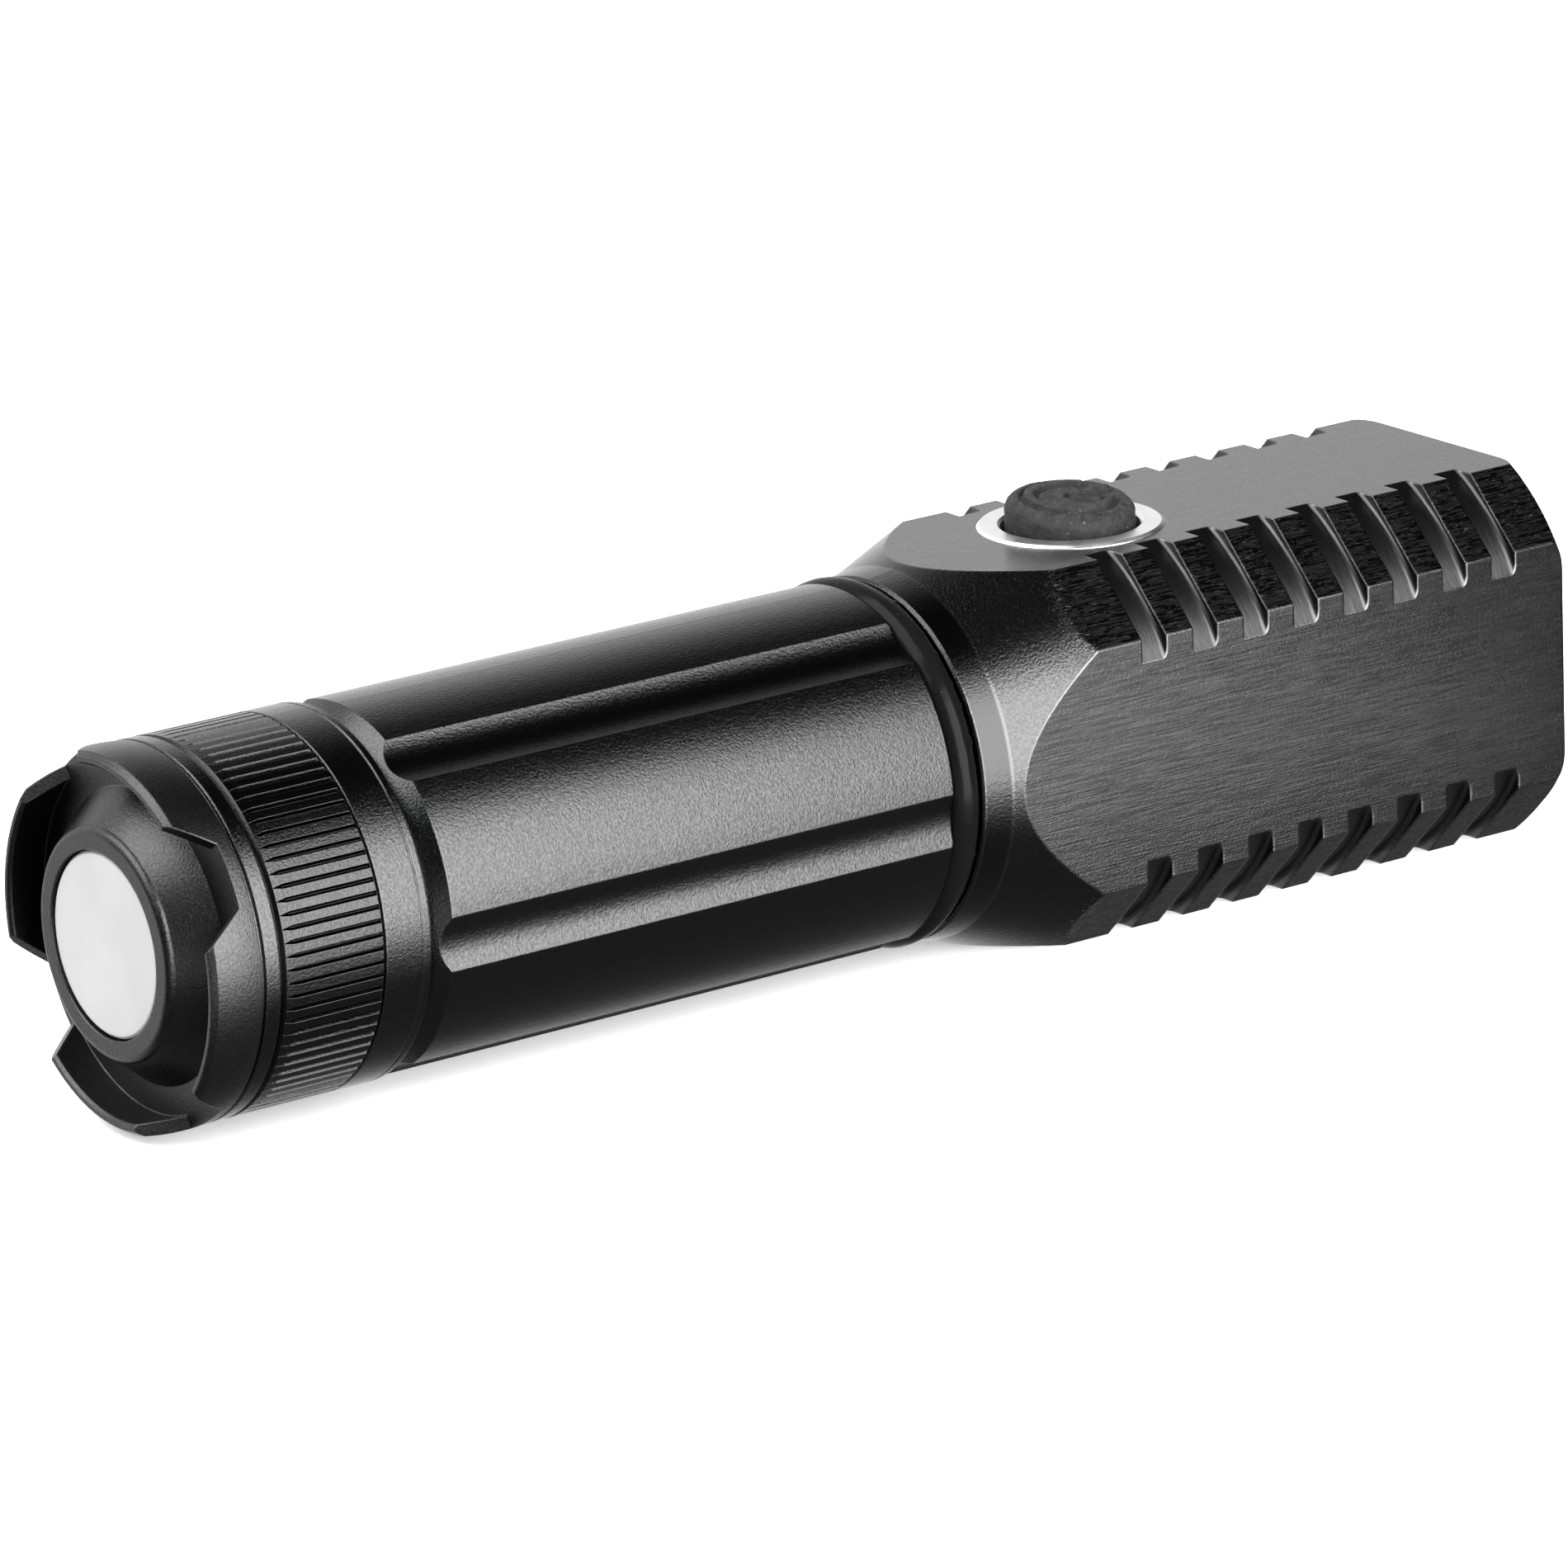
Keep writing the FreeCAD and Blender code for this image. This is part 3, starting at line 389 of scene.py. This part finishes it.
# ---- other materials ----
def polished_ring(name):
    """Bright ring, finely turned, with a soft edge."""
    g = Surface(name)
    x, y, _ = g.parts(g.place())
    turned = g.add("ShaderNodeTexNoise", noise_dimensions="1D")
    g.feed(turned.inputs["W"], g.radius(g.minus(x, SWITCH_X), y))
    g.feed(turned.inputs["Scale"], RING_LINES)
    lines = turned.outputs["Fac"]
    spots = g.noise(900, detail=4.0, roughness=0.7)
    colour = g.overlay(g.shades(lines, RING_TONES), SPOT_TONE, spots, 0.62, 0.75, strength=0.25)
    return g.set(Base_Color=colour, Metallic=1.0, Roughness=g.ramp(spots, 0.3, 0.7, 0.3, 0.38),
                 Normal=g.bump(lines, POLISHED_DEPTH, 0.3, g.rounded(RING_EDGE)))


def mottled_rubber(name):
    """Dull silicone with a leathery skin and a little dust."""
    g = Surface(name)
    grain = g.noise(4200, detail=4.0, roughness=0.65)
    mottle = g.noise(1400, detail=5.0, roughness=0.7)
    dust = g.noise(4200)
    colour = g.shades(mottle, (RUBBER_TONE * 0.6, RUBBER_TONE * 1.5), 0.35, 0.7)
    colour = g.overlay(colour, DUST_TONE, dust, 0.68, 0.76, strength=0.25)
    height = g.plus(grain, g.times(mottle, 1.5))
    return g.set(Base_Color=colour, Roughness=g.ramp(mottle, 0.3, 0.7, 0.55, 0.75),
                 Specular_IOR_Level=0.22, Normal=g.bump(height, RUBBER_DEPTH, 0.8))


def glossy_rubber(name):
    """Smooth black rubber with a few pale crumbs."""
    g = Surface(name)
    grain = g.noise(5200, detail=4.0, roughness=0.65)
    crumbs = g.noise(1500, detail=4.0, roughness=0.7)
    colour = g.overlay(SEAL_TONE, CRUMB_TONE, crumbs, 0.7, 0.76, strength=0.6)
    return g.set(Base_Color=colour, Roughness=g.ramp(grain, 0.3, 0.7, 0.16, 0.24),
                 Specular_IOR_Level=0.07, Normal=g.bump(grain, SEAL_DEPTH, 0.4))


def nickel(name):
    """Pale coated magnet, a little hazy, with a soft edge."""
    g = Surface(name)
    grain = g.noise(4200)
    haze = g.noise(90, detail=3.0, roughness=0.6)
    return g.set(Base_Color=g.shades(haze, MAGNET_TONES, 0.3, 0.8), Metallic=0.1,
                 Roughness=g.ramp(haze, 0.3, 0.7, 0.38, 0.46),
                 Normal=g.bump(grain, POLISHED_DEPTH, 0.3, g.rounded(MAGNET_EDGE)))


def two_tones(colour, dark_share):
    """A darker copy of a colour, and the colour itself."""
    return tuple(channel * dark_share for channel in colour) + (1.0,), colour + (1.0,)


def metal(name, colour, roughness):
    """Plain machined metal with faint tool marks."""
    g = Surface(name)
    marks = g.streaks(TOOL_MARKS, detail=3.0, roughness=0.6)
    return g.set(Base_Color=g.shades(marks, two_tones(colour, 0.8)), Metallic=1.0,
                 Roughness=g.ramp(marks, 0.2, 0.8, roughness * 0.8, roughness * 1.2),
                 Normal=g.bump(marks, POLISHED_DEPTH, 0.4))


def plastic(name, colour, roughness, coat=0.0):
    """Moulded plastic or lacquer with a fine skin texture."""
    g = Surface(name)
    skin = g.noise(3200, detail=3.0, roughness=0.6)
    cloud = g.noise(300, detail=3.0)
    return g.set(Base_Color=g.shades(cloud, two_tones(colour, 0.75)),
                 Roughness=g.ramp(skin, 0.2, 0.8, roughness * 0.85, roughness * 1.15),
                 Coat_Weight=coat, Normal=g.bump(skin, PLASTIC_DEPTH, 0.4))


def circuit_board(name):
    """Green solder mask with faint copper tracks below it."""
    g = Surface(name)
    tracks = g.add("ShaderNodeTexVoronoi", feature="DISTANCE_TO_EDGE", distance="MANHATTAN")
    g.feed(tracks.inputs["Vector"], g.place())
    g.feed(tracks.inputs["Scale"], BOARD_TRACKS)
    line = g.fall(tracks.outputs["Distance"], 0.04, 0.1)
    skin = g.noise(2500)
    return g.set(Base_Color=g.mix(line, (0.012, 0.11, 0.045, 1.0), (0.03, 0.2, 0.08, 1.0)),
                 Roughness=g.ramp(skin, 0.3, 0.7, 0.3, 0.42),
                 Normal=g.bump(line, BOARD_DEPTH, 0.4))


def clear_glass(name, tint, roughness=0.02):
    """Clear glass or silicone with faint smears."""
    g = Surface(name)
    smear = g.noise(260, detail=4.0, roughness=0.6)
    return g.set(Base_Color=g.shades(smear, (1.0, tint), 0.3, 0.8), Transmission_Weight=1.0,
                 IOR=1.5, Roughness=g.ramp(smear, 0.4, 0.8, roughness, roughness + 0.03))


def mirror_coat(name):
    """Vacuum-metallised bowl, with very fine orange peel."""
    g = Surface(name)
    peel = g.noise(900, detail=3.0, roughness=0.6)
    return g.set(Base_Color=g.shades(peel, (0.9, 0.96)), Metallic=1.0,
                 Roughness=g.ramp(peel, 0.3, 0.7, 0.03, 0.07),
                 Normal=g.bump(peel, POLISHED_DEPTH, 0.3))


def make_materials():
    """Material of each CAD node that stays visible."""
    return {
        "battery_tube": blasted_anodise("tube_black"),
        "tail_cap": blasted_anodise("cap_black", cap=True),
        "bezel_ring": blasted_anodise("bezel_black"),
        "head_shell": head_finish("head_black"),
        "switch_ring": polished_ring("ring_bright"),
        "tail_magnet": nickel("magnet_nickel"),
        "lens": clear_glass("lens_clear", (0.93, 0.97, 0.98, 1.0)),
        "led_dome": clear_glass("dome_clear", (1.0, 0.98, 0.9, 1.0), 0.05),
        "reflector": mirror_coat("reflector_coat"),
        "lens_oring": plastic("seal_white", (0.7, 0.7, 0.67), 0.5),
        "tail_oring": glossy_rubber("tail_seal_black"),
        "heat_spreader": metal("copper", (0.8, 0.42, 0.25), 0.35),
        "led_board": plastic("board_white", (0.82, 0.83, 0.82), 0.4),
        "led_emitter": plastic("phosphor_yellow", (0.9, 0.72, 0.12), 0.6),
        "centring_ring": plastic("centring_white", (0.8, 0.8, 0.78), 0.5),
        "led_wire_positive": plastic("wire_red", (0.5, 0.03, 0.02), 0.35),
        "led_wire_negative": plastic("wire_black", (0.02, 0.02, 0.02), 0.35),
        "switch_wires": plastic("switch_wire_black", (0.02, 0.02, 0.02), 0.35),
        "driver_board": circuit_board("driver_green"),
        "switch_board": circuit_board("switch_green"),
        "tail_contact_board": circuit_board("contact_green"),
        "driver_components": plastic("epoxy_black", (0.035, 0.035, 0.04), 0.4),
        "driver_spring": metal("driver_spring_gold", (0.85, 0.68, 0.35), 0.25),
        "tail_spring": metal("tail_spring_gold", (0.85, 0.68, 0.35), 0.25),
        "driver_retainer": metal("driver_brass", (0.72, 0.55, 0.26), 0.3),
        "contact_retainer": metal("contact_brass", (0.72, 0.55, 0.26), 0.3),
        "tact_switch": plastic("tact_black", (0.05, 0.05, 0.055), 0.5),
        "tact_stem": plastic("stem_black", (0.03, 0.03, 0.03), 0.45),
        "switch_plunger": plastic("plunger_black", (0.04, 0.04, 0.04), 0.5),
        "battery_can": metal("can_steel", (0.62, 0.62, 0.63), 0.3),
        "battery_sleeve": plastic("sleeve_blue", (0.05, 0.16, 0.32), 0.25, coat=0.3),
        "battery_insulator": plastic("insulator_white", (0.8, 0.8, 0.78), 0.6),
        "battery_positive_cap": metal("cap_nickel", (0.75, 0.75, 0.75), 0.25),
    }


def assign_materials(materials):
    for node, material in materials.items():
        for slot in NODES[node].material_slots:
            slot.material = material


# ---- meshes ----
def new_mesh(name, points, faces, material):
    """Smoothly shaded object, linked to the scene."""
    mesh = bpy.data.meshes.new(name)
    mesh.from_pydata(points, [], faces)
    mesh.validate()
    mesh.update()
    for polygon in mesh.polygons:
        polygon.use_smooth = True
    mesh.materials.append(material)
    piece = bpy.data.objects.new(name, mesh)
    bpy.context.scene.collection.objects.link(piece)
    return piece


def join_rows(first, second, columns):
    """Quads between two closed rows of points, each given by its first point's number."""
    faces = []
    for j in range(columns):
        k = (j + 1) % columns
        faces.append((first + j, second + j, second + k, first + k))
    return faces


def wrapped_grid(rows, columns):
    """Quads of a grid whose columns close on themselves."""
    faces = []
    for i in range(rows - 1):
        faces += join_rows(i * columns, (i + 1) * columns, columns)
    return faces


def smoothstep(value, low, high):
    """0 below low and 1 above high, smoothed between."""
    t = min(max((value - low) / (high - low), 0.0), 1.0)
    return t * t * (3 - 2 * t)


# ---- switch button ----
SYMBOL_RADIUS = 3.35 * MM
SYMBOL_STROKE = 0.4 * MM        # half the width of its lines
SYMBOL_RISE = 0.36 * MM
SYMBOL_GAP = math.radians(40)   # half the opening of its ring
BAR_START = 0.4 * MM
BAR_PAST_RING = 0.3 * MM
MOAT_DEPTH = 0.28 * MM          # sunk line round the symbol
MOAT_WIDTH = 0.17 * MM
BUTTON_RADIUS = 5.35 * MM
BUTTON_EDGE = 1.1 * MM          # radius of its rounded edge
BUTTON_WALL = 1.0 * MM          # thickness of its wall
BUTTON_MIDDLE_TOP = BOOT_HIGH.z - 0.5 * MM
BUTTON_SLOPE = 0.086            # rise of the top towards +Y
BUTTON_COLUMNS = 320
BUTTON_WALL_STEPS = 14
BUTTON_EDGE_STEPS = 14
BUTTON_TOP_STEPS = 90
FLANGE_TOP = BOOT_LOW.z + 0.8 * MM
SKIN_CELL = 1.1 * MM            # size of the bumps in its skin
SKIN_HEIGHT = 0.045 * MM
FINE_SKIN_RATIO = 3.1
FINE_SKIN_HEIGHT = 0.028 * MM


def symbol_height(x, y):
    """Raised power symbol: an open ring and a bar through its gap, pointing to the lens."""
    ring = abs(math.hypot(x, y) - SYMBOL_RADIUS)
    if abs(math.atan2(y, x)) < SYMBOL_GAP:
        end_x, end_y = SYMBOL_RADIUS * math.cos(SYMBOL_GAP), SYMBOL_RADIUS * math.sin(SYMBOL_GAP)
        ring = math.hypot(x - end_x, abs(y) - end_y)
    bar_x = min(max(x, BAR_START), SYMBOL_RADIUS + BAR_PAST_RING)
    distance = min(ring, math.hypot(x - bar_x, y))
    rise = 1 - smoothstep(distance, SYMBOL_STROKE * 0.75, SYMBOL_STROKE * 1.2)
    moat = math.exp(-((distance - SYMBOL_STROKE * 1.55) / MOAT_WIDTH) ** 2)
    return SYMBOL_RISE * rise - MOAT_DEPTH * moat


def button_outline():
    """Rows of (radius, height, share of the top's slope) from the flange to the top's middle."""
    wall_top = BUTTON_MIDDLE_TOP - BUTTON_EDGE
    flange = (BOOT_HIGH.x - BOOT_LOW.x) / 2
    rows = [(BUTTON_RADIUS - BUTTON_WALL, BOOT_LOW.z, 0), (flange, BOOT_LOW.z, 0),
            (flange, FLANGE_TOP, 0)]
    for k in range(BUTTON_WALL_STEPS + 1):
        share = k / BUTTON_WALL_STEPS
        rows.append((BUTTON_RADIUS, FLANGE_TOP + share * (wall_top - FLANGE_TOP), share))
    for k in range(1, BUTTON_EDGE_STEPS + 1):
        turn = math.pi / 2 * k / BUTTON_EDGE_STEPS
        rows.append((BUTTON_RADIUS - BUTTON_EDGE * (1 - math.cos(turn)),
                     wall_top + BUTTON_EDGE * math.sin(turn), 1))
    inner = BUTTON_RADIUS - BUTTON_EDGE
    for k in range(1, BUTTON_TOP_STEPS):
        rows.append((inner * (1 - k / BUTTON_TOP_STEPS), BUTTON_MIDDLE_TOP, 1))
    return rows


def button_point(radius, height, share, angle):
    """Point at an angle round one row of the outline, with its slope, skin and symbol."""
    x, y = radius * math.cos(angle), radius * math.sin(angle)
    slope = BUTTON_SLOPE * y
    spot = Vector((x, y, height)) / SKIN_CELL
    skin = (noise.noise(spot) * SKIN_HEIGHT
            + noise.noise(spot * FINE_SKIN_RATIO) * FINE_SKIN_HEIGHT)
    outside = smoothstep(radius, BUTTON_RADIUS - BUTTON_EDGE, BUTTON_RADIUS)
    scale = 1 + skin * outside / max(radius, MM)
    on_top = smoothstep(height, BUTTON_MIDDLE_TOP - 0.4 * MM, BUTTON_MIDDLE_TOP)
    lift = (symbol_height(x, y) + skin) * on_top
    z = min(height + slope * share + lift, BOOT_HIGH.z)
    return SWITCH_X + x * scale, y * scale, z


def switch_button(material):
    """Rubber button: cylindrical side, rounded edge, sloping top and the raised symbol."""
    columns = BUTTON_COLUMNS
    outline = button_outline()
    points = [button_point(*row, 2 * math.pi * j / columns)
              for row in outline for j in range(columns)]
    centre = len(points)
    points.append(button_point(0.0, BUTTON_MIDDLE_TOP, 1, 0.0))
    faces = wrapped_grid(len(outline), columns)
    last = (len(outline) - 1) * columns
    faces += [(last + j, centre, last + (j + 1) % columns) for j in range(columns)]
    piece = new_mesh("switch_button_rubber", points, faces, material)
    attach(piece, "switch_button")
    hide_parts("switch_boot")


# ---- front O-ring ----
SEAL_ROWS = 40
SEAL_COLUMNS = 720
SEAL_SQUASH = 0.06
SEAL_BUMPS = 9                  # noise cells along the ring's radius
SEAL_WOBBLE = 0.02 * MM
FLASH_TURN = math.radians(48)   # where the moulding flash lies round the section
FLASH_HEIGHT = 0.10 * MM
FLASH_SPREAD = 0.09             # radians, like the next one
BURR_SPREAD = 0.12
BURR_HEIGHT = 0.5 * MM
BURR_RATIO = 2.3                # how much smaller the burrs are than the bumps
BURR_START = 0.25               # value of the noise above which a burr grows


def seal_point(turn, angle):
    """Point at a turn round the rubber's section and an angle round the tube."""
    middle_x = (SEAL_LOW.x + SEAL_HIGH.x) / 2
    half = (SEAL_HIGH.x - SEAL_LOW.x) / 2
    ring_radius = (SEAL_HIGH.y - SEAL_LOW.y) / 2 - half
    around = Vector((math.cos(angle), math.sin(angle), 0)) * SEAL_BUMPS
    flash = FLASH_HEIGHT * math.exp(-((turn - FLASH_TURN) / FLASH_SPREAD) ** 2)
    burr = max(0.0, noise.noise(around * BURR_RATIO) - BURR_START) * BURR_HEIGHT
    burr *= math.exp(-((turn - FLASH_TURN) / BURR_SPREAD) ** 2)
    wobble = noise.noise(around + Vector((0, 0, turn))) * SEAL_WOBBLE
    r = half + wobble + flash + burr
    x = middle_x + r * math.sin(turn) * (1.0 - SEAL_SQUASH * math.cos(2 * turn))
    radial = ring_radius + min(r * math.cos(turn), half)
    return (min(max(x, SEAL_LOW.x), SEAL_HIGH.x),
            radial * math.sin(angle), AXIS_Z + radial * math.cos(angle))


def front_oring(material):
    """Squashed rubber ring with moulding flash along its outside and a few torn burrs."""
    points = [seal_point(2 * math.pi * i / SEAL_ROWS, 2 * math.pi * j / SEAL_COLUMNS)
              for i in range(SEAL_ROWS) for j in range(SEAL_COLUMNS)]
    faces = wrapped_grid(SEAL_ROWS, SEAL_COLUMNS)
    faces += join_rows((SEAL_ROWS - 1) * SEAL_COLUMNS, 0, SEAL_COLUMNS)
    piece = new_mesh("head_oring_rubber", points, faces, material)
    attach(piece, "tube")
    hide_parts("front_oring")


# ---- camera, floor and light ----
def direction_to(azimuth, elevation):
    """Unit vector; azimuth 0 points to -Y and 90 to +X, elevation is above the floor."""
    turn, rise = math.radians(azimuth), math.radians(elevation)
    return Vector((math.sin(turn) * math.cos(rise), -math.cos(turn) * math.cos(rise),
                   math.sin(rise)))


def make_camera():
    back = direction_to(CAMERA_AZIMUTH, CAMERA_ELEVATION)
    azimuth = math.radians(CAMERA_AZIMUTH)
    level = Vector((math.cos(azimuth), math.sin(azimuth), 0))
    roll = Matrix.Rotation(math.radians(CAMERA_ROLL), 3, back)
    right, up = roll @ level, roll @ back.cross(level)
    place = (CAMERA_AIM + right * CAMERA_OFFSET[0] + up * CAMERA_OFFSET[1]
             + back * CAMERA_DISTANCE)
    data = bpy.data.cameras.new("camera")
    data.lens = CAMERA_LENS
    data.sensor_width = CAMERA_SENSOR
    data.clip_start = 0.01
    camera = bpy.data.objects.new("camera", data)
    turn = Matrix((right, up, back)).transposed().to_4x4()
    camera.matrix_world = Matrix.Translation(place) @ turn
    bpy.context.scene.collection.objects.link(camera)
    bpy.context.scene.camera = camera


def area_light(name, place, target, size, radiance):
    """Rectangular softbox of the given brightness, facing its target."""
    data = bpy.data.lights.new(name, "AREA")
    data.shape = "RECTANGLE"
    data.size, data.size_y = size
    data.energy = radiance * math.pi * size[0] * size[1]
    light = bpy.data.objects.new(name, data)
    direction = Vector(target) - Vector(place)
    light.rotation_euler = direction.to_track_quat("-Z", "Y").to_euler()
    light.location = place
    bpy.context.scene.collection.objects.link(light)
    return light


def make_lights():
    centre = Vector((0, 0, AXIS_Z))
    front = centre + direction_to(azimuth=6, elevation=16) * 0.5
    area_light("front_softbox", front, centre, size=(0.6, 0.56), radiance=9.5)
    tail = centre + Vector((-0.6, 0.2, 0.77)).normalized() * 0.6
    area_light("tail_softbox", tail, centre, size=(0.56, 0.56), radiance=5.5)
    # facing straight up, just under the floor, which does not hide it from the metal
    below = Vector((-0.0815, -0.175, -0.002))
    glow = area_light("table_glow", below, centre, size=(0.347, 0.26), radiance=1.1)
    glow.rotation_euler = (math.pi, 0, 0)
    overhead = area_light("overhead", (0.0, 0.0, 0.9), centre, size=(1.6, 1.6), radiance=4.5)
    overhead.visible_glossy = False


def make_floor():
    """White table top, left out of reflections so that the black metal stays black."""
    g = Surface("floor_pale")
    g.set(Base_Color=g.shades(g.noise(40), (0.8, 0.82)), Roughness=0.8,
          Emission_Color=(1, 1, 1, 1), Emission_Strength=FLOOR_GLOW)
    half = FLOOR_HALF
    points = [(-half, -half, 0), (half, -half, 0), (half, half, 0), (-half, half, 0)]
    floor = new_mesh("floor", points, [(0, 1, 2, 3)], g.material)
    floor.location.z = -FLOOR_DROP
    floor.visible_glossy = False
    floor.visible_shadow = False


def make_world():
    """Dark room over a dim table, with a white backdrop behind the object.

    The camera itself sees white all round.
    """
    world = bpy.data.worlds.new("studio")
    world.use_nodes = True
    g = Graph(world.node_tree)
    _, y, z = g.parts(g.add("ShaderNodeTexCoord").outputs["Generated"])
    glow = g.plus(g.ramp(y, *BACKDROP_FADE, 0.0, BACKDROP_GLOW),
                  g.ramp(z, *TABLE_FADE, TABLE_GLOW, ROOM_GLOW))
    camera_ray = g.add("ShaderNodeLightPath").outputs["Is Camera Ray"]
    background = g.tree.nodes["Background"]
    g.feed(background.inputs["Color"], (1, 1, 1, 1))
    g.feed(background.inputs["Strength"], g.math("MAXIMUM", glow, camera_ray))
    bpy.context.scene.world = world


def main():
    assign_materials(make_materials())
    switch_button(mottled_rubber("boot_grey"))
    front_oring(glossy_rubber("seal_black"))
    make_floor()
    make_world()
    make_lights()
    make_camera()


main()
bpy.context.scene.view_settings.view_transform = "Standard"
